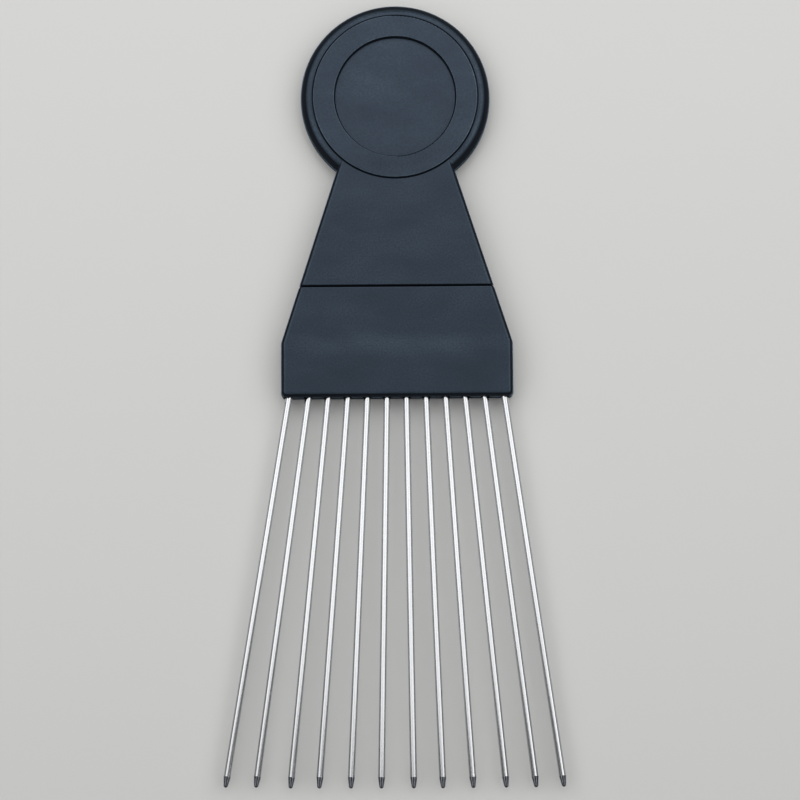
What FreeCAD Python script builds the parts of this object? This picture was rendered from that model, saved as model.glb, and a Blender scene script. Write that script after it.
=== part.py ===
import FreeCAD, Part
import math
import os

# An afro pick: a fan of steel pins in a flat comb block, with a tapered handle and a round head.
# It lies on its back. X is the width, +Y points from the pins to the head, and +Z is the front.
# The origin is on the back face, on the handle's centre line, halfway along the overall length.
# Lengths are millimetres and angles are degrees.

# Whole pick; at the parting plane the back shells stand proud of the front ones by a lip all round
body_thickness = 6.0
parting_height = 3.5
draft_angle = 1.5
back_lip = 0.2
cut_overrun = 2.0
edge_tolerance = 0.01
sharp_join = 2

# Pins, in slots of the comb block's back shell that the front shell closes
pin_count = 12
pin_diameter = 1.6
exposed_pin_length = 87.6
pin_pitch_at_mouth = 4.431
pin_pitch_at_tips = 6.865
pin_embed = 12.0
pin_head_diameter = 2.6
pin_head_length = 1.2
pin_tip_length = 2.5
pin_tip_diameter = 0.84
pin_clearance = 0.03
pin_mouth_relief = 0.2

# The fan leans a little to the left, as a share of the pitch there.
mouth_shift_share = -0.03
fan_shift_share = -0.11
# Each pin's own lean, as a share of the pitch at the tips, and how far its tip stops short of the
# lowest one, as a share of the tip's length.
lean_shares = (-0.06, -0.07, 0.05, -0.02, 0.015, 0.005, 0.055, 0.005, -0.01, 0.06, 0.04, -0.06)
short_shares = (0.2, 0.18, 0.08, 0.06, 0.04, 0.02, 0.01, 0.0, 0.0, 0.02, 0.03, 0.06)

# Comb block
comb_side_margin = 1.8
shoulder_height = 12.5
comb_bottom_radius = 1.05
shoulder_radius = 2.0
face_edge_radius = 0.9

# Joint between the comb block and the handle
joint_height = 25.2
joint_gap = 0.2
joint_edge_radius = 0.25
tongue_width = 26.0
tongue_length = 13.0
tongue_root = 3.0
tongue_front_height = 0.5
tongue_back_height = 1.5
tongue_corner_radius = 2.0
tongue_clearance = 0.1

# Handle and head, with the width that the handle's straight sides would reach at the head's centre
handle_reach = 43.5
neck_width = 16.1
head_diameter = 43.0
rim_drop = 0.1
rim_round_share = 0.95

# Caps on the head
cap_diameter = 37.6
cap_thickness = 1.8
cap_gap = 0.2
front_cap_rise = 0.5
cap_edge_radius = 0.35
recess_margin = 5.0
recess_depth = 1.2
recess_edge_radius = 0.25

# Posts of the front shells, in sockets of the back shells
post_diameter = 3.0
post_clearance = 0.05
comb_post_count = 3
comb_post_pitch = 14.0
comb_post_drop = 5.0
comb_post_length = 2.6
tongue_post_count = 2
tongue_post_pitch = 14.0
tongue_post_length = 2.6
neck_post_count = 2
neck_post_pitch = 12.0
neck_post_length = 2.0
post_floor = 0.2

# Pegs of the caps and posts of the head, in holes through the webs
peg_count = 3
peg_diameter = 2.5
peg_circle_diameter = 20.0
peg_end_gap = 0.2
cap_peg_angle = 90
head_post_angle = 270

# Places worked out from the sizes
draft_slope = math.tan(math.radians(draft_angle))
front_depth = body_thickness - parting_height
back_depth = parting_height
overall_length = exposed_pin_length + joint_height + handle_reach + head_diameter / 2
lowest_tip_y = -overall_length / 2
comb_bottom_y = lowest_tip_y + exposed_pin_length
shoulder_y = comb_bottom_y + shoulder_height
joint_y = comb_bottom_y + joint_height
head_centre_y = joint_y + handle_reach
comb_half_width = (pin_count - 1) / 2 * pin_pitch_at_mouth + comb_side_margin
side_slope = (comb_half_width - neck_width / 2) / (head_centre_y - shoulder_y)
pin_root_y = comb_bottom_y + pin_embed
pin_bore_radius = pin_diameter / 2 + pin_clearance
pin_axis_z = parting_height - pin_bore_radius
tongue_end_y = joint_y + tongue_length
rim_radius = rim_round_share * (front_depth - rim_drop)
cap_pocket_diameter = cap_diameter + 2 * cap_gap
recess_diameter = cap_diameter - 2 * recess_margin
front_web = front_depth + front_cap_rise - cap_thickness
back_web = back_depth - cap_thickness
origin = FreeCAD.Vector(0, 0, 0)
y_axis = FreeCAD.Vector(0, 1, 0)
z_axis = FreeCAD.Vector(0, 0, 1)


def half_width_at(y):
    """Half the width of the tapered body at a height along the handle."""
    return comb_half_width - (y - shoulder_y) * side_slope


def rounded_wire(corners):
    """A closed outline in the XY plane through (x, y, radius) corners, with arcs at the round ones."""
    starts = []
    ends = []
    edges = []
    count = len(corners)
    for i, (x, y, radius) in enumerate(corners):
        corner = FreeCAD.Vector(x, y, 0)
        before = FreeCAD.Vector(corners[i - 1][0], corners[i - 1][1], 0)
        after = FreeCAD.Vector(corners[(i + 1) % count][0], corners[(i + 1) % count][1], 0)
        back = (before - corner).normalize()
        ahead = (after - corner).normalize()
        half = back.getAngle(ahead) / 2
        starts.append(corner + back * (radius / math.tan(half)))
        ends.append(corner + ahead * (radius / math.tan(half)))
        if radius > 0:
            inward = (back + ahead).normalize()
            middle = corner + inward * (radius / math.sin(half) - radius)
            edges.append(Part.Arc(starts[i], middle, ends[i]).toShape())
    for i in range(count):
        edges.append(Part.LineSegment(ends[i], starts[(i + 1) % count]).toShape())
    return Part.Wire(Part.__sortEdges__(edges))


def drafted_half(outline, depth):
    """Half of a body, above the parting plane: the outline there, drawn in by the draft at its face."""
    base = outline.copy()
    base.translate(z_axis * parting_height)
    face = outline.makeOffset2D(-depth * draft_slope, sharp_join)
    face.translate(z_axis * (parting_height + depth))
    return Part.makeLoft([base, face], True, True)


def face_edges(solid, depth, low_y, high_y):
    """The edges in the face of a half whose middles lie between two heights along the pick."""
    found = []
    for edge in solid.Edges:
        middle = edge.valueAt((edge.FirstParameter + edge.LastParameter) / 2)
        in_face = abs(middle.z - parting_height - depth) < edge_tolerance
        if in_face and low_y - edge_tolerance < middle.y < high_y + edge_tolerance:
            found.append(edge)
    return found


def circle_edges(solid, diameter, z):
    """The round edges of one diameter at one level."""
    found = []
    for edge in solid.Edges:
        if isinstance(edge.Curve, Part.Circle):
            same_size = abs(edge.Curve.Radius - diameter / 2) < edge_tolerance
            if same_size and abs(edge.Curve.Center.z - z) < edge_tolerance:
                found.append(edge)
    return found


def joint_edge(solid, depth, y):
    """The straight edge where a half's face meets the joint between block and handle."""
    return face_edges(solid, depth, y - edge_tolerance, y + edge_tolerance)


def mirrored_to_back(solid):
    """A half turned over to lie behind the parting plane."""
    return solid.mirror(z_axis * parting_height, z_axis)


def upright(diameter, x, y, low_z, high_z):
    """A cylinder along Z between two levels."""
    return Part.makeCylinder(diameter / 2, high_z - low_z, FreeCAD.Vector(x, y, low_z), z_axis)


def ring_places(start_angle):
    """Places on the peg circle of the head, from an angle."""
    places = []
    for i in range(peg_count):
        angle = math.radians(start_angle + 360 * i / peg_count)
        x = peg_circle_diameter / 2 * math.cos(angle)
        y = head_centre_y + peg_circle_diameter / 2 * math.sin(angle)
        places.append((x, y))
    return places


def row_places(count, pitch, y):
    """Places on a line across the body, centred on it."""
    return [((i - (count - 1) / 2) * pitch, y) for i in range(count)]


comb_post_places = row_places(comb_post_count, comb_post_pitch, joint_y - comb_post_drop)
tongue_post_places = row_places(tongue_post_count, tongue_post_pitch, joint_y + tongue_length / 2)
neck_post_y = (tongue_end_y + head_centre_y - cap_pocket_diameter / 2) / 2
neck_post_places = row_places(neck_post_count, neck_post_pitch, neck_post_y)
cap_peg_places = ring_places(cap_peg_angle)
head_post_places = ring_places(head_post_angle)


def pin_line(i):
    """A pin's root point, slant and length, from its places at the mouth of the block and at its tip."""
    steps = i - (pin_count - 1) / 2
    mouth_x = (steps + mouth_shift_share) * pin_pitch_at_mouth
    lean_share = fan_shift_share + lean_shares[i % len(lean_shares)]
    tip_x = (steps + lean_share) * pin_pitch_at_tips
    tip_y = lowest_tip_y + short_shares[i % len(short_shares)] * pin_tip_length
    slope = (tip_x - mouth_x) / (comb_bottom_y - tip_y)
    root_x = mouth_x - slope * pin_embed
    angle = math.atan(slope)
    length = (pin_root_y - tip_y) / math.cos(angle)
    return FreeCAD.Vector(root_x, pin_root_y, pin_axis_z), math.degrees(angle), length


def on_pin_line(shape, i):
    """Turns a shape made along -Y from the origin on to a pin's line."""
    root, angle, length = pin_line(i)
    placed = shape.copy()
    placed.rotate(origin, z_axis, angle)
    placed.translate(root)
    return placed


def make_pin(i):
    """A wire pin with an upset head at its root and a rounded cone at its tip."""
    root, angle, length = pin_line(i)
    wire_radius = pin_diameter / 2
    head_radius = pin_head_diameter / 2
    tip_radius = pin_tip_diameter / 2
    cone_start = -(length - pin_tip_length)
    round_start = -(length - tip_radius)
    diagonal = tip_radius / math.sqrt(2)
    points = [
        FreeCAD.Vector(0, 0, 0),
        FreeCAD.Vector(head_radius, 0, 0),
        FreeCAD.Vector(head_radius, -pin_head_length, 0),
        FreeCAD.Vector(wire_radius, -pin_head_length, 0),
        FreeCAD.Vector(wire_radius, cone_start, 0),
        FreeCAD.Vector(tip_radius, round_start, 0),
    ]
    edges = [Part.LineSegment(a, b).toShape() for a, b in zip(points, points[1:])]
    round_middle = FreeCAD.Vector(diagonal, round_start - diagonal, 0)
    end = FreeCAD.Vector(0, -length, 0)
    edges.append(Part.Arc(points[-1], round_middle, end).toShape())
    edges.append(Part.LineSegment(end, points[0]).toShape())
    profile = Part.Face(Part.Wire(edges))
    return on_pin_line(profile.revolve(origin, y_axis, 360), i)


def pin_slot(half_width, high_y, length):
    """A slot from a pin's line to beyond the parting plane, down from a place along the pin."""
    corner = FreeCAD.Vector(-half_width, high_y - length, 0)
    return Part.makeBox(2 * half_width, length, pin_bore_radius + cut_overrun, corner)


def pin_seat(i, slotted):
    """The space for a pin in a comb shell: its head's pocket and the relief at its mouth, and in the
    slotted shell also the bore, all open to the parting plane."""
    pocket_radius = pin_head_diameter / 2 + pin_clearance
    pocket_length = pin_head_length + 2 * pin_clearance
    pocket_top = FreeCAD.Vector(0, pin_clearance, 0)
    embed = pin_embed / math.cos(math.radians(pin_line(i)[1]))
    mouth_y = pin_mouth_relief - embed
    mouth_length = pin_mouth_relief + cut_overrun
    mouth_radius = pin_bore_radius + mouth_length
    mouth_top = FreeCAD.Vector(0, mouth_y, 0)
    tools = [
        Part.makeCylinder(pocket_radius, pocket_length, pocket_top, -y_axis),
        Part.makeCone(pin_bore_radius, mouth_radius, mouth_length, mouth_top, -y_axis),
    ]
    if slotted:
        bore_length = embed + cut_overrun
        tools.append(Part.makeCylinder(pin_bore_radius, bore_length, origin, -y_axis))
        tools.append(pin_slot(pocket_radius, pin_clearance, pocket_length))
        tools.append(pin_slot(pin_bore_radius, 0, bore_length))
        tools.append(pin_slot(pin_bore_radius + pin_mouth_relief, mouth_y, mouth_length))
    return on_pin_line(tools[0].fuse(tools[1:]), i)


def tongue_half(height, grow):
    """The tongue's part above the parting plane, made larger all round by a clearance for its pocket."""
    reach = tongue_width / 2 + grow
    end_y = tongue_end_y + grow
    start_y = joint_y - tongue_root
    corners = [
        (-reach, start_y, 0),
        (reach, start_y, 0),
        (reach, end_y, tongue_corner_radius + grow),
        (-reach, end_y, tongue_corner_radius + grow),
    ]
    outline = Part.Face(rounded_wire(corners))
    outline.translate(z_axis * parting_height)
    return outline.extrude(z_axis * (height + grow))


def comb_half(lip, depth, tongue_height):
    """Half of the comb block, drawn in by a lip, its edges rounded, with its part of the tongue."""
    top_y = joint_y - joint_gap / 2
    side_x = comb_half_width - lip
    bottom_y = comb_bottom_y + lip
    top_x = half_width_at(top_y) - lip
    corners = [
        (-side_x, bottom_y, comb_bottom_radius),
        (side_x, bottom_y, comb_bottom_radius),
        (side_x, shoulder_y, shoulder_radius),
        (top_x, top_y, 0),
        (-top_x, top_y, 0),
        (-side_x, shoulder_y, shoulder_radius),
    ]
    solid = drafted_half(rounded_wire(corners), depth)
    face_top_y = top_y - depth * draft_slope
    outer = face_edges(solid, depth, comb_bottom_y, face_top_y - face_edge_radius)
    solid = solid.makeFillet(face_edge_radius, outer)
    solid = solid.makeFillet(joint_edge_radius, joint_edge(solid, depth, face_top_y))
    return solid.fuse(tongue_half(tongue_height, 0)).removeSplitter()


def cut_all(solid, tools):
    """A solid less several tools."""
    return solid.cut(Part.makeCompound(tools)).removeSplitter()


def add_posts(solid, places, diameter, end_z):
    """Posts that stand on the parting face of a front shell and reach back to a level."""
    posts = [upright(diameter, x, y, end_z, parting_height) for x, y in places]
    return solid.fuse(posts).removeSplitter()


def sockets(places, diameter, end_z):
    """Tools for the holes that take posts, from beyond the parting plane to a level behind it."""
    bore = diameter + 2 * post_clearance
    return [upright(bore, x, y, end_z, parting_height + cut_overrun) for x, y in places]


def web_holes(places):
    """Tools for the holes right through both webs of the head."""
    bore = peg_diameter + 2 * post_clearance
    low_z = parting_height - back_web - cut_overrun
    high_z = parting_height + front_web + cut_overrun
    return [upright(bore, x, y, low_z, high_z) for x, y in places]


def comb_cuts(slotted):
    """Tools for a comb shell: the pins' seats and the tongue's holes for the handle's posts."""
    bore = post_diameter + 2 * tongue_clearance
    holes = [upright(bore, x, y, 0, body_thickness) for x, y in tongue_post_places]
    return [pin_seat(i, slotted) for i in range(pin_count)] + holes


def make_comb_front():
    half = comb_half(back_lip, front_depth, tongue_front_height)
    solid = cut_all(half, comb_cuts(False))
    return add_posts(solid, comb_post_places, post_diameter, parting_height - comb_post_length)


def make_comb_back():
    socket_end = parting_height - comb_post_length - post_floor
    tools = comb_cuts(True) + sockets(comb_post_places, post_diameter, socket_end)
    return cut_all(mirrored_to_back(comb_half(0, back_depth, tongue_back_height)), tools)


def head_half(lip, depth):
    """Half of the round head, drawn in by a lip, with its rounded rim."""
    rim_z = parting_height + depth - rim_drop
    diameter = head_diameter - 2 * lip
    disc = upright(diameter, 0, head_centre_y, parting_height, rim_z)
    return disc.makeFillet(rim_radius, circle_edges(disc, diameter, rim_z))


def handle_half(lip, depth, web, tongue_height):
    """Half of the handle, drawn in by a lip, with the pockets for a cap on a web and for the tongue."""
    low_y = joint_y + joint_gap / 2
    top_y = head_centre_y
    low_x = half_width_at(low_y) - lip
    top_x = half_width_at(top_y) - lip
    corners = [
        (-low_x, low_y, 0),
        (low_x, low_y, 0),
        (top_x, top_y, 0),
        (-top_x, top_y, 0),
    ]
    body = drafted_half(rounded_wire(corners), depth)
    face_low_y = low_y + depth * draft_slope
    face_top_y = top_y - depth * draft_slope
    sides = face_edges(body, depth, face_low_y + face_edge_radius, face_top_y - face_edge_radius)
    body = body.makeFillet(face_edge_radius, sides)
    body = body.makeFillet(joint_edge_radius, joint_edge(body, depth, face_low_y))
    solid = body.fuse(head_half(lip, depth)).removeSplitter()
    seat_z = parting_height + web
    pocket_top = parting_height + depth + cut_overrun
    pocket = upright(cap_pocket_diameter, 0, head_centre_y, seat_z, pocket_top)
    return cut_all(solid, [pocket, tongue_half(tongue_height, tongue_clearance)])


def make_handle_front():
    half = handle_half(back_lip, front_depth, front_web, tongue_front_height)
    solid = cut_all(half, web_holes(cap_peg_places))
    pocket_roof = parting_height + tongue_front_height + tongue_clearance
    tongue_post_end = parting_height - tongue_post_length
    tongue_posts = []
    for x, y in tongue_post_places:
        tongue_posts.append(upright(post_diameter, x, y, tongue_post_end, pocket_roof))
    solid = solid.fuse(tongue_posts)
    solid = add_posts(solid, neck_post_places, post_diameter, parting_height - neck_post_length)
    return add_posts(solid, head_post_places, peg_diameter, parting_height - back_web + peg_end_gap)


def make_handle_back():
    solid = mirrored_to_back(handle_half(0, back_depth, back_web, tongue_back_height))
    tongue_socket_end = parting_height - tongue_post_length - post_floor
    neck_socket_end = parting_height - neck_post_length - post_floor
    tools = sockets(tongue_post_places, post_diameter, tongue_socket_end)
    tools += sockets(neck_post_places, post_diameter, neck_socket_end)
    tools += web_holes(head_post_places + cap_peg_places)
    return cut_all(solid, tools)


def make_cap(web):
    """A cap facing up on a seat at z = 0, with a round recess on top and pegs into a web below."""
    plate = upright(cap_diameter, 0, head_centre_y, 0, cap_thickness)
    recess_floor = cap_thickness - recess_depth
    recess = upright(recess_diameter, 0, head_centre_y, recess_floor, cap_thickness + cut_overrun)
    plate = plate.cut(recess)
    plate = plate.makeFillet(cap_edge_radius, circle_edges(plate, cap_diameter, cap_thickness))
    plate = plate.makeFillet(recess_edge_radius, circle_edges(plate, recess_diameter, cap_thickness))
    pegs = [upright(peg_diameter, x, y, peg_end_gap - web, 0) for x, y in cap_peg_places]
    return plate.fuse(pegs).removeSplitter()


def make_front_cap():
    cap = make_cap(front_web)
    cap.translate(z_axis * (parting_height + front_web))
    return cap


def make_back_cap():
    cap = make_cap(back_web).mirror(origin, z_axis)
    cap.translate(z_axis * (parting_height - back_web))
    return cap


def main():
    pieces = {
        "comb_front_shell": make_comb_front(),
        "comb_back_shell": make_comb_back(),
        "handle_front_shell": make_handle_front(),
        "handle_back_shell": make_handle_back(),
        "head_front_cap": make_front_cap(),
        "head_back_cap": make_back_cap(),
    }
    for i in range(pin_count):
        pieces[f"pin_{i + 1:02d}"] = make_pin(i)
    os.makedirs("parts", exist_ok=True)
    for name, shape in pieces.items():
        shape.exportStep(f"parts/{name}.step")
        solids = len(shape.Solids)
        print(name, "valid" if shape.isValid() else "INVALID", solids, round(shape.Volume, 1))


main()
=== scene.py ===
import bmesh
import bpy
import math
from bpy.props import FloatProperty, FloatVectorProperty, IntProperty, PointerProperty
from mathutils import Matrix, Vector


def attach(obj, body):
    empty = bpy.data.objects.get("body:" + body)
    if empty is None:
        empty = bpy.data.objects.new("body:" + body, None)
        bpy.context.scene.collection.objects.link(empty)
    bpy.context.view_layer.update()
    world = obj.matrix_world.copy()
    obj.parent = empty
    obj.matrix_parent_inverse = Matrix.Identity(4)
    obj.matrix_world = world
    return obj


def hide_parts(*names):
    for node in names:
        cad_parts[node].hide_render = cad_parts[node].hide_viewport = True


# An afro pick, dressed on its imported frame: steel pins, moulded shells and the caps of the head.
# Lengths are metres. The pick lies on its back: X is the width, +Y points to the head, +Z is the front.

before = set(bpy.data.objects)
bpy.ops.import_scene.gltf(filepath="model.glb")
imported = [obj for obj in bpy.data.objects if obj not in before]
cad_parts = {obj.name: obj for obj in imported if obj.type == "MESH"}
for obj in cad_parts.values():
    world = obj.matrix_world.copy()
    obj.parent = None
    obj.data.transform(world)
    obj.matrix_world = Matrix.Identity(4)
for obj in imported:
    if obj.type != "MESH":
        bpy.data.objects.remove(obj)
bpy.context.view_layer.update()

bl_info = {
    "name": "Afro pick",
    "version": (1, 0, 0),
    "blender": (4, 5, 0),
    "location": "3D View > Sidebar > Pick",
    "description": "Dresses the packed afro pick: pins, shells, caps and a plain studio",
    "category": "Object",
}

pin_nodes = sorted(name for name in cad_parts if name.startswith("pin_"))
shell_nodes = ("comb_front_shell", "comb_back_shell", "handle_front_shell", "handle_back_shell")
cap_nodes = ("head_front_cap", "head_back_cap")
millimetre = 0.001
weld_distance = 0.000001

# The moulded plastic: its clouds, specks, smudges and grain, its roughness on faces and steep walls, the
# painted highlight on its parting ledge and the painted shade in the corner of the caps' recess
cloud_strength = 1.8
cloud_stretch = 2.0
speck_strength = 2.2
smudge_size = 18 * millimetre
grain_depth = 0.02 * millimetre
clean_roughness = 0.36
handled_roughness = 0.32
wall_roughness = 0.95
plastic_gloss = 0.45
ledge_highlight = 4.0
corner_shade_brightness = 0.1

# How much each plastic's painted highlights on the band over the pins' heads and on its edges brighten it,
# and how much painted shade darkens its walls
body_sink_highlight = 0.6
body_edge_highlight = 1.2
body_wall_shade = 0.95
cap_sink_highlight = 0.0
cap_edge_highlight = 3.0
cap_wall_shade = 0.97

# The drawn steel: the lines along a wire, how far they are worn in at the tip, and its roughness
lines_across = 9000.0
lines_along = 15.0
line_depth = 0.01 * millimetre
tip_wear = 0.9
worn_brightness = 0.8
cone_blend = 0.02
smooth_roughness = 0.10
lined_roughness = 0.18
cone_roughness = 0.16

# The softboxes: name, place, the point that each faces, width, length and the setting of its brightness
softboxes = (
    ("Left softbox", (-0.285, 0.26, 0.393), (-0.069, 0.26, 0), 0.44, 0.68, "side_brightness"),
    ("Left softbox at the tips", (-0.33, -0.26, 0.36), (-0.09, -0.26, 0), 0.32, 0.2, "side_brightness"),
    ("Right softbox", (0.285, 0.26, 0.393), (0.069, 0.26, 0), 0.44, 0.68, "side_brightness"),
    ("Right softbox at the tips", (0.33, -0.26, 0.36), (0.09, -0.26, 0), 0.32, 0.2, "side_brightness"),
    ("Top softbox", (0, 0, 0.6), (0, 0, 0), 0.24, 0.17, "top_brightness"),
    ("Head softbox", (0, 0.4, 0.6), (0, 0.4, 0), 0.24, 0.49, "head_brightness"),
)
floor_reach = 1.5
camera_target = Vector((0.000605, -0.0019, 0.004))


class PickPinSizes(bpy.types.PropertyGroup):
    """Sizes of the steel pins."""
    wire_diameter: FloatProperty(
        name="Wire diameter", description="Diameter of a pin's wire",
        default=1.6 * millimetre, min=0.0, subtype="DISTANCE", unit="LENGTH")
    head_diameter: FloatProperty(
        name="Head diameter", description="Diameter of the upset head inside the comb block",
        default=2.6 * millimetre, min=0.0, subtype="DISTANCE", unit="LENGTH")
    head_length: FloatProperty(
        name="Head length", description="Length of the upset head",
        default=1.2 * millimetre, min=0.0, subtype="DISTANCE", unit="LENGTH")
    tip_length: FloatProperty(
        name="Tip length", description="Length of the ground cone at the free end",
        default=2.5 * millimetre, min=0.0, subtype="DISTANCE", unit="LENGTH")
    tip_diameter: FloatProperty(
        name="Tip diameter", description="Diameter of the rounded end of the cone",
        default=0.84 * millimetre, min=0.0, subtype="DISTANCE", unit="LENGTH")
    edge_radius: FloatProperty(
        name="Edge radius", description="Softening where the cone and the head meet the wire",
        default=0.06 * millimetre, min=0.0, subtype="DISTANCE", unit="LENGTH")
    sides: IntProperty(
        name="Sides", description="Number of faces round a pin", default=40, min=8)


class PickFinish(bpy.types.PropertyGroup):
    """Colours and textures of the finishes."""
    body_colour: FloatVectorProperty(
        name="Body colour", description="Colour of the moulded shells",
        default=(0.0092, 0.0139, 0.0180), size=3, min=0.0, max=1.0, subtype="COLOR")
    cap_colour: FloatVectorProperty(
        name="Cap colour", description="Colour of the caps on the head",
        default=(0.0125, 0.0186, 0.0241), size=3, min=0.0, max=1.0, subtype="COLOR")
    sheen_tint: FloatVectorProperty(
        name="Reflection tint", description="Tint of what the plastic reflects",
        default=(0.56, 0.72, 1.0), size=3, min=0.0, max=1.0, subtype="COLOR")
    steel_colour: FloatVectorProperty(
        name="Steel colour", description="Colour of the drawn steel wire",
        default=(0.64, 0.65, 0.665), size=3, min=0.0, max=1.0, subtype="COLOR")
    tip_colour: FloatVectorProperty(
        name="Tip colour", description="Colour of the ground cones",
        default=(0.125, 0.13, 0.145), size=3, min=0.0, max=1.0, subtype="COLOR")
    worn_length: FloatProperty(
        name="Worn length", description="How far up from its tip a pin's wire shows its drawing lines",
        default=60 * millimetre, min=0.0, subtype="DISTANCE", unit="LENGTH")
    grain_size: FloatProperty(
        name="Grain size", description="Width of the moulded grain's bumps",
        default=0.28 * millimetre, min=0.0, subtype="DISTANCE", unit="LENGTH")
    cloud_size: FloatProperty(
        name="Cloud size", description="Width of the soft clouds in the plastic",
        default=7 * millimetre, min=0.0, subtype="DISTANCE", unit="LENGTH")
    speck_size: FloatProperty(
        name="Speck size", description="Width of the fine specks in the plastic",
        default=0.4 * millimetre, min=0.0, subtype="DISTANCE", unit="LENGTH")
    # The sink band is painted highlight: the plastic's colour is made brighter over it, standing for the
    # light that a shallow sink over the pins' heads catches.
    sink_place: FloatProperty(
        name="Sink place", description="Where the faint band over the pins' heads lies along the pick",
        default=10.6 * millimetre, subtype="DISTANCE", unit="LENGTH")
    sink_width: FloatProperty(
        name="Sink width", description="Width of the faint band over the pins' heads",
        default=4.6 * millimetre, min=0.0, subtype="DISTANCE", unit="LENGTH")
    # The parting ledge gets painted highlight: the colour is made brighter where the height lies within the
    # ledge depth of the ledge place.
    ledge_place: FloatProperty(
        name="Ledge place", description="Height of the parting ledge between front and back shells",
        default=3.5 * millimetre, subtype="DISTANCE", unit="LENGTH")
    ledge_depth: FloatProperty(
        name="Ledge depth", description="How far the scuffs reach in front of and behind the ledge",
        default=0.06 * millimetre, min=0.0, subtype="DISTANCE", unit="LENGTH")
    # The dark line in the corner of the caps' recess is painted shade.
    corner_shade_place: FloatProperty(
        name="Corner place", description="Where the middle of the caps' recess lies along the pick",
        default=67.4 * millimetre, subtype="DISTANCE", unit="LENGTH")
    corner_shade_radius: FloatProperty(
        name="Corner radius", description="Radius of the dark line in the corner of the caps' recess",
        default=13.7 * millimetre, min=0.0, subtype="DISTANCE", unit="LENGTH")
    corner_shade_width: FloatProperty(
        name="Corner width", description="Half the width of the dark line in the corner of the recess",
        default=0.1 * millimetre, min=0.0, subtype="DISTANCE", unit="LENGTH")


class PickStage(bpy.types.PropertyGroup):
    """Floor, lamps and camera."""
    floor_colour: FloatVectorProperty(
        name="Floor colour", description="Colour of the plain floor",
        default=(0.66, 0.66, 0.65), size=3, min=0.0, max=1.0, subtype="COLOR")
    side_brightness: FloatProperty(
        name="Side brightness", description="Brightness of each of the two side softboxes",
        default=1.4, min=0.0)
    top_brightness: FloatProperty(
        name="Top brightness", description="Brightness of the softbox over the pick",
        default=1.0, min=0.0)
    head_brightness: FloatProperty(
        name="Head brightness", description="Brightness of the softbox beyond the head",
        default=2.5, min=0.0)
    sky_brightness: FloatProperty(
        name="Sky brightness", description="Brightness of the plain world round the pick",
        default=0.16, min=0.0)
    camera_distance: FloatProperty(
        name="Camera distance", description="From the camera to the middle of the pick",
        default=0.8, min=0.0, subtype="DISTANCE", unit="LENGTH")
    camera_tilt: FloatProperty(
        name="Camera tilt", description="How far the camera leans from straight above towards the pins",
        default=math.radians(7.4), subtype="ANGLE", unit="ROTATION")
    camera_roll: FloatProperty(
        name="Camera roll", description="How far the camera is turned about its own line of sight",
        default=math.radians(-0.42), subtype="ANGLE", unit="ROTATION")
    camera_lens: FloatProperty(
        name="Camera lens", description="Focal length in millimetres on a sensor 36 mm wide",
        default=159.87, min=1.0)


def add_node(tree, kind, links=None, **settings):
    """A node with its settings, its inputs set to values or joined to other nodes' sockets."""
    made = tree.nodes.new(kind)
    for name, value in settings.items():
        setattr(made, name, value)
    for name, value in (links or {}).items():
        if isinstance(value, bpy.types.NodeSocket):
            tree.links.new(value, made.inputs[name])
        else:
            made.inputs[name].default_value = value
    return made


def new_group(name, inputs, outputs):
    """An empty shader node group with named sockets, and its input and output nodes."""
    tree = bpy.data.node_groups.new(name, "ShaderNodeTree")
    for socket_name, kind in inputs:
        tree.interface.new_socket(name=socket_name, in_out="INPUT", socket_type=kind)
    for socket_name, kind in outputs:
        tree.interface.new_socket(name=socket_name, in_out="OUTPUT", socket_type=kind)
    return tree, add_node(tree, "NodeGroupInput"), add_node(tree, "NodeGroupOutput")


def group_named(name, build):
    """The node group of that name, built the first time it is asked for."""
    found = bpy.data.node_groups.get(name)
    return found or build(name)


def maths(tree, operation, first, second=0.0):
    """The output of a Math node on two values or sockets."""
    made = add_node(tree, "ShaderNodeMath", {0: first, 1: second}, operation=operation)
    return made.outputs["Value"]


def build_clouds(name):
    """A brightness near 1 that drifts over the surface in patches of a size, wider than high by a stretch."""
    tree, given, result = new_group(
        name,
        [(label, "NodeSocketFloat") for label in ("Size", "Stretch", "Strength")],
        [("Brightness", "NodeSocketFloat")],
    )
    place = add_node(tree, "ShaderNodeTexCoord").outputs["Object"]
    scale = maths(tree, "DIVIDE", 1.0, given.outputs["Size"])
    narrow = add_node(
        tree, "ShaderNodeCombineXYZ", {"X": given.outputs["Stretch"], "Y": 1.0, "Z": 1.0}).outputs["Vector"]
    wide = add_node(
        tree, "ShaderNodeVectorMath", {0: place, 1: narrow}, operation="DIVIDE").outputs["Vector"]
    noise = add_node(
        tree, "ShaderNodeTexNoise",
        {"Vector": wide, "Scale": scale, "Detail": 2.0, "Roughness": 0.55})
    centred = maths(tree, "SUBTRACT", noise.outputs["Fac"], 0.5)
    swing = maths(tree, "MULTIPLY", centred, given.outputs["Strength"])
    tree.links.new(maths(tree, "ADD", swing, 1.0), result.inputs["Brightness"])
    return tree


def build_painted_sink_highlight(name):
    """A painted highlight across the pick, standing for the light that a shallow sink catches: a brightness
    that rises above 1 over its middle.
    """
    tree, given, result = new_group(
        name,
        [(label, "NodeSocketFloat") for label in ("Place", "Width", "Strength")],
        [("Brightness", "NodeSocketFloat")],
    )
    place = add_node(tree, "ShaderNodeTexCoord").outputs["Object"]
    along = add_node(tree, "ShaderNodeSeparateXYZ", {0: place}).outputs["Y"]
    away = maths(tree, "ABSOLUTE", maths(tree, "SUBTRACT", along, given.outputs["Place"]))
    share = maths(tree, "DIVIDE", away, given.outputs["Width"])
    band = add_node(
        tree, "ShaderNodeMapRange",
        {"Value": share, "From Min": 0.0, "From Max": 0.75, "To Min": 1.0, "To Max": 0.0},
        interpolation_type="SMOOTHSTEP")
    rise = maths(tree, "MULTIPLY", band.outputs["Result"], given.outputs["Strength"])
    tree.links.new(maths(tree, "ADD", rise, 1.0), result.inputs["Brightness"])
    return tree


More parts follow.
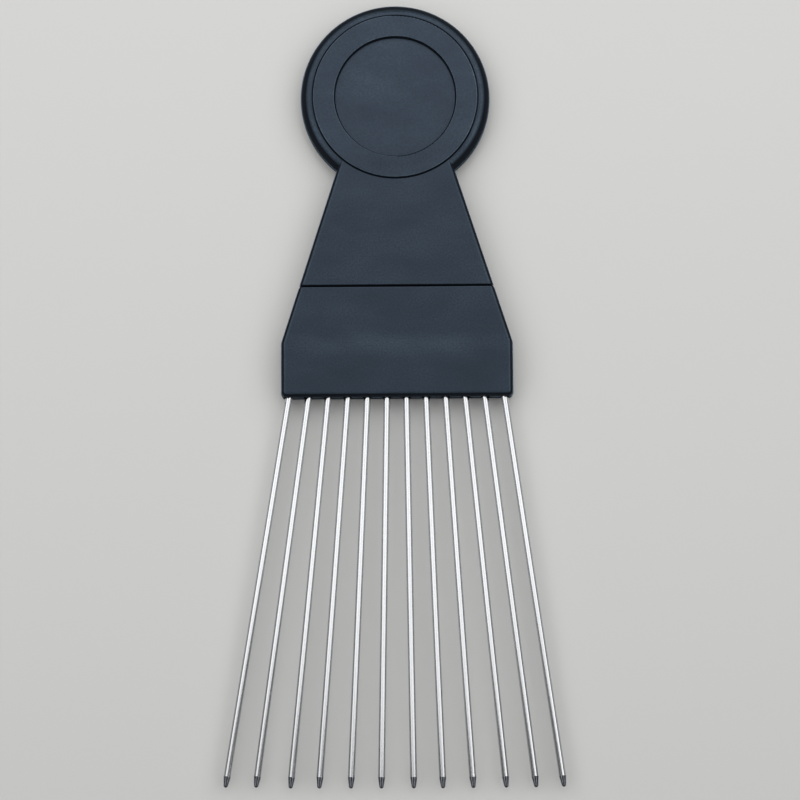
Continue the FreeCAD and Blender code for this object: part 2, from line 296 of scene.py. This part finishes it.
def build_painted_edge_light_and_wall_shade(name):
    """Painted light on moulded plastic: highlights on rounded edges and the parting ledge, painted shade on
    steep walls, and how steep the surface is, for its roughness.
    """
    tree, given, result = new_group(
        name,
        [(label, "NodeSocketFloat") for label in ("Edge", "Wall", "Ledge", "Ledge place", "Ledge depth")],
        [("Brightness", "NodeSocketFloat"), ("Steepness", "NodeSocketFloat")],
    )
    surface = add_node(tree, "ShaderNodeTexCoord").outputs
    level = add_node(tree, "ShaderNodeSeparateXYZ", {0: surface["Object"]}).outputs["Z"]
    upright = maths(
        tree, "ABSOLUTE", add_node(tree, "ShaderNodeSeparateXYZ", {0: surface["Normal"]}).outputs["Z"])
    off_ledge = maths(tree, "ABSOLUTE", maths(tree, "SUBTRACT", level, given.outputs["Ledge place"]))
    on_ledge = maths(tree, "LESS_THAN", off_ledge, given.outputs["Ledge depth"])
    ledge_lit = maths(tree, "MULTIPLY", on_ledge, given.outputs["Ledge"])
    steep = add_node(
        tree, "ShaderNodeMapRange",
        {"Value": upright, "From Min": 0.95, "From Max": 0.78, "To Min": 0.0, "To Max": 1.0},
        interpolation_type="SMOOTHSTEP").outputs["Result"]
    off_face = add_node(
        tree, "ShaderNodeMapRange",
        {"Value": upright, "From Min": 0.999, "From Max": 0.975, "To Min": 0.0, "To Max": 1.0},
        interpolation_type="SMOOTHSTEP").outputs["Result"]
    edge = maths(tree, "MULTIPLY", off_face, maths(tree, "SUBTRACT", 1.0, steep))
    brighter = maths(tree, "MULTIPLY", edge, given.outputs["Edge"])
    darker = maths(tree, "MULTIPLY", steep, given.outputs["Wall"])
    lit = maths(tree, "ADD", maths(tree, "ADD", 1.0, ledge_lit), maths(tree, "SUBTRACT", brighter, darker))
    tree.links.new(lit, result.inputs["Brightness"])
    tree.links.new(steep, result.inputs["Steepness"])
    return tree


def build_grain(name):
    """The fine matt grain of a textured mould, as a height from 0 to 1."""
    tree, given, result = new_group(
        name, [("Size", "NodeSocketFloat")], [("Height", "NodeSocketFloat")])
    place = add_node(tree, "ShaderNodeTexCoord").outputs["Object"]
    scale = maths(tree, "DIVIDE", 1.0, given.outputs["Size"])
    noise = add_node(
        tree, "ShaderNodeTexNoise",
        {"Vector": place, "Scale": scale, "Detail": 3.0, "Roughness": 0.6})
    tree.links.new(noise.outputs["Fac"], result.inputs["Height"])
    return tree


def build_handling(name):
    """Smudges left by hands, as a mask from 0 to 1."""
    tree, given, result = new_group(
        name, [("Size", "NodeSocketFloat")], [("Mask", "NodeSocketFloat")])
    place = add_node(tree, "ShaderNodeTexCoord").outputs["Object"]
    scale = maths(tree, "DIVIDE", 1.0, given.outputs["Size"])
    noise = add_node(
        tree, "ShaderNodeTexNoise",
        {"Vector": place, "Scale": scale, "Detail": 4.0, "Roughness": 0.6, "Distortion": 0.6})
    mask = add_node(
        tree, "ShaderNodeMapRange",
        {"Value": noise.outputs["Fac"], "From Min": 0.45, "From Max": 0.7})
    tree.links.new(mask.outputs["Result"], result.inputs["Mask"])
    return tree


def build_painted_corner_shade(name):
    """Painted shade in the corner of a round recess: a dark line, as a mask from 0 to 1."""
    tree, given, result = new_group(
        name,
        [(label, "NodeSocketFloat") for label in ("Place", "Radius", "Width")],
        [("Mask", "NodeSocketFloat")],
    )
    place = add_node(tree, "ShaderNodeTexCoord").outputs["Object"]
    flat = add_node(
        tree, "ShaderNodeVectorMath", {0: place, 1: (1.0, 1.0, 0.0)}, operation="MULTIPLY").outputs["Vector"]
    centre = add_node(tree, "ShaderNodeCombineXYZ", {"Y": given.outputs["Place"]}).outputs["Vector"]
    reach = add_node(
        tree, "ShaderNodeVectorMath", {0: flat, 1: centre}, operation="DISTANCE").outputs["Value"]
    off_line = maths(tree, "ABSOLUTE", maths(tree, "SUBTRACT", reach, given.outputs["Radius"]))
    tree.links.new(maths(tree, "LESS_THAN", off_line, given.outputs["Width"]), result.inputs["Mask"])
    return tree


def tinted(tree, colour, brightness):
    """A colour made lighter or darker by a brightness."""
    made = add_node(
        tree, "ShaderNodeVectorMath", {0: colour, "Scale": brightness}, operation="SCALE")
    return made.outputs["Vector"]


def mixed(tree, share, low, high):
    """A value between two others."""
    made = add_node(tree, "ShaderNodeMix", {"Factor": share, "A": low, "B": high})
    return made.outputs["Result"]


def with_group(tree, name, build, **inputs):
    """A shared node group in a material, its inputs set by name."""
    made = add_node(tree, "ShaderNodeGroup", node_tree=group_named(name, build))
    for socket, value in inputs.items():
        made.inputs[socket.replace("_", " ")].default_value = value
    return made


def moulded_plastic(name, colour, sink_highlight_strength, edge_highlight_strength, wall_shade_strength, corner_shade_width):
    """Matt moulded plastic with a fine grain, soft clouds, specks and a little handling, painted highlights
    on its edges, parting ledge and sink band, and painted shade on steep walls and in a recess corner.
    """
    finish = bpy.context.scene.pick_finish
    material = bpy.data.materials.new(name)
    material.use_nodes = True
    tree = material.node_tree
    shader = tree.nodes["Principled BSDF"]
    clouds = with_group(
        tree, "Soft clouds", build_clouds, Size=finish.cloud_size, Stretch=cloud_stretch,
        Strength=cloud_strength)
    specks = with_group(
        tree, "Soft clouds", build_clouds, Size=finish.speck_size, Stretch=1.0, Strength=speck_strength)
    sink = with_group(
        tree, "Painted sink highlight", build_painted_sink_highlight,
        Place=finish.sink_place, Width=finish.sink_width, Strength=sink_highlight_strength)
    grain = with_group(tree, "Mould grain", build_grain, Size=finish.grain_size)
    hands = with_group(tree, "Handling", build_handling, Size=smudge_size)
    edge_light_and_wall_shade = with_group(
        tree, "Painted edge light and wall shade", build_painted_edge_light_and_wall_shade, Edge=edge_highlight_strength, Wall=wall_shade_strength, Ledge=ledge_highlight,
        Ledge_place=finish.ledge_place, Ledge_depth=finish.ledge_depth)
    corner = with_group(
        tree, "Painted corner shade", build_painted_corner_shade,
        Place=finish.corner_shade_place, Radius=finish.corner_shade_radius, Width=corner_shade_width)
    drift = maths(tree, "MULTIPLY", clouds.outputs["Brightness"], specks.outputs["Brightness"])
    # Painted light in the colour: the sink band, the rounded edges and the parting ledge get painted
    # highlights, and the steep walls and the corner of a recess get painted shade.
    wear_and_painted_light = maths(tree, "MULTIPLY", drift, edge_light_and_wall_shade.outputs["Brightness"])
    shade = maths(tree, "MULTIPLY", wear_and_painted_light, sink.outputs["Brightness"])
    lined = maths(tree, "MULTIPLY", shade, mixed(tree, corner.outputs["Mask"], 1.0, corner_shade_brightness))
    tree.links.new(tinted(tree, colour, lined), shader.inputs["Base Color"])
    handled = mixed(tree, hands.outputs["Mask"], clean_roughness, handled_roughness)
    matt = maths(tree, "MAXIMUM", edge_light_and_wall_shade.outputs["Steepness"], corner.outputs["Mask"])
    rough = mixed(tree, matt, handled, wall_roughness)
    tree.links.new(rough, shader.inputs["Roughness"])
    bump = add_node(
        tree, "ShaderNodeBump",
        {"Height": grain.outputs["Height"], "Strength": 0.5, "Distance": grain_depth})
    tree.links.new(bump.outputs["Normal"], shader.inputs["Normal"])
    shader.inputs["Specular IOR Level"].default_value = plastic_gloss
    shader.inputs["Specular Tint"].default_value = (*finish.sheen_tint, 1.0)
    return material


def drawn_steel(name, colour, tip_colour, tip_length, worn_length):
    """Drawn steel wire with lines along it and a darker ground cone at its end."""
    material = bpy.data.materials.new(name)
    material.use_nodes = True
    tree = material.node_tree
    shader = tree.nodes["Principled BSDF"]
    place = add_node(tree, "ShaderNodeAttribute", attribute_name="wire_place").outputs["Vector"]
    lines_scale = add_node(
        tree, "ShaderNodeMapping", {"Vector": place, "Scale": (lines_across, lines_across, lines_along)})
    lines = add_node(
        tree, "ShaderNodeTexNoise",
        {"Vector": lines_scale.outputs["Vector"], "Scale": 1.0, "Detail": 2.0})
    height = add_node(tree, "ShaderNodeSeparateXYZ", {0: place}).outputs["Z"]
    on_tip = add_node(
        tree, "ShaderNodeMapRange",
        {"Value": height, "From Min": tip_length * (1 + cone_blend),
         "From Max": tip_length * (1 - cone_blend)})
    streaks = add_node(
        tree, "ShaderNodeMapRange",
        {"Value": lines.outputs["Fac"], "From Min": 0.35, "From Max": 0.65, "To Min": 0.5, "To Max": 1.5}
    ).outputs["Result"]
    wear_and_painted_light = add_node(
        tree, "ShaderNodeMapRange",
        {"Value": height, "From Min": tip_length, "From Max": worn_length, "To Min": tip_wear, "To Max": 0.0}
    ).outputs["Result"]
    dulled = maths(tree, "MULTIPLY", streaks, worn_brightness)
    shade = add_node(
        tree, "ShaderNodeMix", {"Factor": on_tip.outputs["Result"]}, data_type="RGBA")
    tree.links.new(tinted(tree, colour, mixed(tree, wear_and_painted_light, 1.0, dulled)), shade.inputs["A"])
    tree.links.new(tinted(tree, tip_colour, streaks), shade.inputs["B"])
    tree.links.new(shade.outputs["Result"], shader.inputs["Base Color"])
    smooth = mixed(tree, lines.outputs["Fac"], smooth_roughness, lined_roughness)
    rough = mixed(tree, on_tip.outputs["Result"], smooth, cone_roughness)
    tree.links.new(rough, shader.inputs["Roughness"])
    bump = add_node(
        tree, "ShaderNodeBump",
        {"Height": lines.outputs["Fac"], "Strength": 0.1, "Distance": line_depth})
    tree.links.new(bump.outputs["Normal"], shader.inputs["Normal"])
    shader.inputs["Metallic"].default_value = 1.0
    return material


def lathe(profile, steps):
    """A bmesh turned about the Z axis from (radius, height) points that start and end on the axis."""
    bm = bmesh.new()
    verts = [bm.verts.new((radius, 0.0, height)) for radius, height in profile]
    edges = [bm.edges.new(pair) for pair in zip(verts, verts[1:])]
    bmesh.ops.spin(
        bm, geom=verts + edges, cent=(0, 0, 0), axis=(0, 0, 1), dvec=(0, 0, 0),
        angle=math.tau, steps=steps, use_merge=True, use_duplicate=False)
    bmesh.ops.remove_doubles(bm, verts=bm.verts, dist=weld_distance)
    bmesh.ops.recalc_face_normals(bm, faces=bm.faces)
    return bm


def ring_edges(bm, radius, height):
    """The edges of a turned bmesh that run round it at a radius and a height."""
    def on_ring(vert):
        reach = math.hypot(vert.co.x, vert.co.y)
        return abs(reach - radius) < weld_distance * 5 and abs(vert.co.z - height) < weld_distance * 5
    return [edge for edge in bm.edges if all(on_ring(vert) for vert in edge.verts)]


def round_ring(bm, radius, height, size, segments):
    """Rounds the edge that runs round a turned bmesh at a radius and a height."""
    bmesh.ops.bevel(
        bm, geom=ring_edges(bm, radius, height), offset=size, offset_type="OFFSET",
        segments=segments, profile=0.5, affect="EDGES", material=-1, clamp_overlap=True)


def add_piece(name, bm, material, slot_name, *nodes):
    """Makes a piece from a bmesh. It rides on the pick and stands for CAD nodes."""
    mesh = bpy.data.meshes.new(name)
    bm.to_mesh(mesh)
    bm.free()
    mesh.materials.append(material)
    mesh.shade_smooth()
    mesh.set_sharp_from_angle(angle=math.radians(40))
    piece = bpy.data.objects.new(name, mesh)
    bpy.context.scene.collection.objects.link(piece)
    normals = piece.modifiers.new("Face weighted normals", "WEIGHTED_NORMAL")
    normals.keep_sharp = True
    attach(piece, "root")
    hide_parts(*nodes)
    return piece


def pin_ends(node):
    """The middle of a pin's root end and the point of its tip."""
    places = [vert.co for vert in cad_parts[node].data.vertices]
    tip = min(places, key=lambda place: place.y)
    top = max(place.y for place in places)
    root_ring = [place for place in places if place.y > top - 0.5 * millimetre]
    low_x = min(place.x for place in root_ring)
    high_x = max(place.x for place in root_ring)
    low_y = min(place.y for place in root_ring)
    root = Vector(((low_x + high_x) / 2, (low_y + top) / 2, tip.z))
    return root, tip.copy()


def pin_mesh(sizes, length):
    """A pin standing on its tip: rounded end, ground cone, wire and upset head."""
    wire = sizes.wire_diameter / 2
    head = sizes.head_diameter / 2
    tip = sizes.tip_diameter / 2
    head_low = length - sizes.head_length
    bm = lathe(
        [(0, 0), (tip, 0), (wire, sizes.tip_length), (wire, head_low), (head, head_low), (head, length),
         (0, length)],
        sizes.sides)
    round_ring(bm, tip, 0, tip * 0.98, 6)
    round_ring(bm, wire, sizes.tip_length, sizes.edge_radius, 3)
    round_ring(bm, head, head_low, sizes.edge_radius, 2)
    round_ring(bm, head, length, sizes.edge_radius, 2)
    return bm


class PICK_OT_build_pins(bpy.types.Operator):
    """Turns the steel pins and sets them in the comb block"""
    bl_idname = "pick.build_pins"
    bl_label = "Build pins"

    def execute(self, context):
        sizes = context.scene.pick_pin_sizes
        finish = context.scene.pick_finish
        steel = drawn_steel(
            "Drawn steel", tuple(finish.steel_colour), tuple(finish.tip_colour), sizes.tip_length,
            finish.worn_length)
        for node in pin_nodes:
            root, tip = pin_ends(node)
            length = (root - tip).length
            bm = pin_mesh(sizes, length)
            place = bm.verts.layers.float_vector.new("wire_place")
            for vert in bm.verts:
                vert[place] = vert.co
            turn = Vector((0, 0, 1)).rotation_difference(root - tip).to_matrix().to_4x4()
            bmesh.ops.transform(bm, matrix=Matrix.Translation(tip) @ turn, verts=bm.verts)
            add_piece(f"steel_{node}", bm, steel, "pin_steel", node)
        return {"FINISHED"}


class PICK_OT_dress_shells(bpy.types.Operator):
    """Gives the comb and handle shells their moulded plastic"""
    bl_idname = "pick.dress_shells"
    bl_label = "Dress shells"

    def execute(self, context):
        finish = context.scene.pick_finish
        plastic = moulded_plastic(
            "Body plastic", tuple(finish.body_colour), body_sink_highlight, body_edge_highlight, body_wall_shade, 0.0)
        for node in shell_nodes:
            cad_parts[node].data.materials.clear()
            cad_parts[node].data.materials.append(plastic)
        return {"FINISHED"}


class PICK_OT_dress_caps(bpy.types.Operator):
    """Gives the caps of the head their moulded plastic"""
    bl_idname = "pick.dress_caps"
    bl_label = "Dress caps"

    def execute(self, context):
        finish = context.scene.pick_finish
        plastic = moulded_plastic(
            "Cap plastic", tuple(finish.cap_colour), cap_sink_highlight, cap_edge_highlight, cap_wall_shade, finish.corner_shade_width)
        for node in cap_nodes:
            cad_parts[node].data.materials.clear()
            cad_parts[node].data.materials.append(plastic)
        return {"FINISHED"}


def plain_floor(colour):
    """The plain pale material of the floor."""
    material = bpy.data.materials.new("Plain floor")
    material.use_nodes = True
    shader = material.node_tree.nodes["Principled BSDF"]
    shader.inputs["Base Color"].default_value = (*colour, 1.0)
    shader.inputs["Roughness"].default_value = 0.9
    shader.inputs["Specular IOR Level"].default_value = 0.1
    return material


def add_softbox(name, place, target, width, length, brightness):
    """A rectangular soft lamp of a brightness, its length along Y, that leans about Y to face a target."""
    lamp = bpy.data.lights.new(name, "AREA")
    lamp.shape = "RECTANGLE"
    lamp.size = width
    lamp.size_y = length
    lamp.energy = math.pi * width * length * brightness
    holder = bpy.data.objects.new(name, lamp)
    holder.location = place
    holder.rotation_euler = (0, math.atan2(place[0] - target[0], place[2] - target[2]), 0)
    bpy.context.scene.collection.objects.link(holder)
    return holder


class PICK_OT_set_stage(bpy.types.Operator):
    """Adds the floor, the soft lamps, the world and the camera"""
    bl_idname = "pick.set_stage"
    bl_label = "Set stage"

    def execute(self, context):
        stage = context.scene.pick_stage
        scene = context.scene
        bm = bmesh.new()
        bmesh.ops.create_grid(bm, x_segments=1, y_segments=1, size=floor_reach)
        mesh = bpy.data.meshes.new("floor")
        bm.to_mesh(mesh)
        bm.free()
        mesh.materials.append(plain_floor(tuple(stage.floor_colour)))
        floor = bpy.data.objects.new("floor", mesh)
        scene.collection.objects.link(floor)
        for name, place, target, width, length, brightness in softboxes:
            add_softbox(name, place, target, width, length, getattr(stage, brightness))
        world = bpy.data.worlds.new("Studio")
        world.use_nodes = True
        world.node_tree.nodes["Background"].inputs["Color"].default_value = (1, 1, 1, 1)
        world.node_tree.nodes["Background"].inputs["Strength"].default_value = stage.sky_brightness
        scene.world = world
        camera = bpy.data.cameras.new("Camera")
        camera.lens = stage.camera_lens
        camera.sensor_width = 36
        camera.clip_end = 20
        holder = bpy.data.objects.new("Camera", camera)
        tilt = stage.camera_tilt
        away = Vector((0, -math.sin(tilt), math.cos(tilt)))
        holder.location = camera_target + stage.camera_distance * away
        look = Matrix.Rotation(tilt, 4, "X") @ Matrix.Rotation(stage.camera_roll, 4, "Z")
        holder.rotation_euler = look.to_euler()
        scene.collection.objects.link(holder)
        scene.camera = holder
        scene.view_settings.view_transform = "Standard"
        return {"FINISHED"}


class PICK_PT_build(bpy.types.Panel):
    """Builds the pick from the sidebar"""
    bl_label = "Afro pick"
    bl_idname = "PICK_PT_build"
    bl_space_type = "VIEW_3D"
    bl_region_type = "UI"
    bl_category = "Pick"

    def draw(self, context):
        for settings in (context.scene.pick_pin_sizes, context.scene.pick_finish, context.scene.pick_stage):
            box = self.layout.box()
            for name in settings.__annotations__:
                box.prop(settings, name)
        for operator in operators:
            self.layout.operator(operator.bl_idname)


operators = (PICK_OT_build_pins, PICK_OT_dress_shells, PICK_OT_dress_caps, PICK_OT_set_stage)
settings_groups = {
    "pick_pin_sizes": PickPinSizes,
    "pick_finish": PickFinish,
    "pick_stage": PickStage,
}


def register():
    for name, group in settings_groups.items():
        bpy.utils.register_class(group)
        setattr(bpy.types.Scene, name, PointerProperty(type=group))
    for operator in operators:
        bpy.utils.register_class(operator)
    bpy.utils.register_class(PICK_PT_build)


def unregister():
    bpy.utils.unregister_class(PICK_PT_build)
    for operator in reversed(operators):
        bpy.utils.unregister_class(operator)
    for name, group in settings_groups.items():
        delattr(bpy.types.Scene, name)
        bpy.utils.unregister_class(group)


def main():
    register()
    bpy.ops.pick.build_pins()
    bpy.ops.pick.dress_shells()
    bpy.ops.pick.dress_caps()
    bpy.ops.pick.set_stage()


if __name__ == "__main__":
    main()
